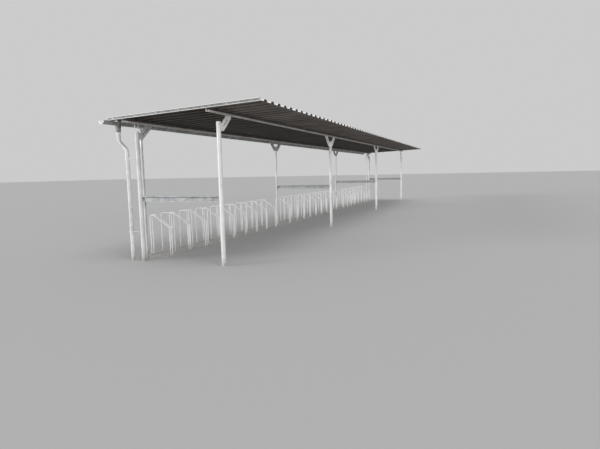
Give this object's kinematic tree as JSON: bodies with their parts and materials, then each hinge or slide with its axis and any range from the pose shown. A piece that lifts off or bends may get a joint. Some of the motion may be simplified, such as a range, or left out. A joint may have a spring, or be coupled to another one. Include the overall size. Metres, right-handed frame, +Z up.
{
  "type": "bike shelter",
  "caption": "Open galvanised bike shelter: post frames, long beams, a lean-to ribbed sheet roof with gutter and downpipe, and floor racks with wheel slots.",
  "frame": {"origin": "bottom centre of the whole shelter, at ground level", "axes": "+X along the row, +Y to the back (gutter side), +Z up"},
  "size_m": [18.31, 3.1087, 2.6723],
  "materials": {
    "cap": "pale plastic cap",
    "galvanised_profile": "hot-dip galvanised with a mottled spangle",
    "galvanised_tube": "hot-dip galvanised, pale and dull",
    "gutter_zinc": "rolled zinc-coated sheet",
    "rack_steel": "galvanised bar, rubbed by tyres",
    "roof_sheet": "galvanised ribbed sheet, weathered below",
    "roof_trim": "folded galvanised sheet"
  },
  "bodies": {
    "root": {"back_arms_1": "galvanised_profile", "back_arms_2": "galvanised_profile", "back_arms_3": "galvanised_profile", "back_arms_4": "galvanised_profile", "back_beam": "galvanised_profile", "back_post_1": "galvanised_tube", "back_post_2": "galvanised_tube", "back_post_3": "galvanised_tube", "back_post_4": "galvanised_tube", "back_strut_1": "galvanised_profile", "back_strut_4": "galvanised_profile", "cross_rail_1": "galvanised_profile", "cross_rail_2": "galvanised_profile", "cross_rail_3": "galvanised_profile", "cross_rail_4": "galvanised_profile", "downpipe": "gutter_zinc", "floor_rails_1": "rack_steel", "floor_rails_2": "rack_steel", "floor_rails_3": "rack_steel", "front_arms_1": "galvanised_profile", "front_arms_2": "galvanised_profile", "front_arms_3": "galvanised_profile", "front_arms_4": "galvanised_profile", "front_beam": "galvanised_profile", "front_post_1": "galvanised_tube", "front_post_2": "galvanised_tube", "front_post_3": "galvanised_tube", "front_post_4": "galvanised_tube", "gable_trim_end": "roof_trim", "gable_trim_start": "roof_trim", "gutter": "gutter_zinc", "gutter_brackets": "gutter_zinc", "gutter_outlet": "gutter_zinc", "lock_hoops_1": "rack_steel", "lock_hoops_2": "rack_steel", "lock_hoops_3": "rack_steel", "pipe_clamps": "gutter_zinc", "post_caps": "cap", "roof_sheets_1": "roof_sheet", "roof_sheets_2": "roof_sheet", "roof_sheets_3": "roof_sheet", "wheel_hoops_1": "rack_steel", "wheel_hoops_2": "rack_steel", "wheel_hoops_3": "rack_steel"}
  },
  "joints": []
}
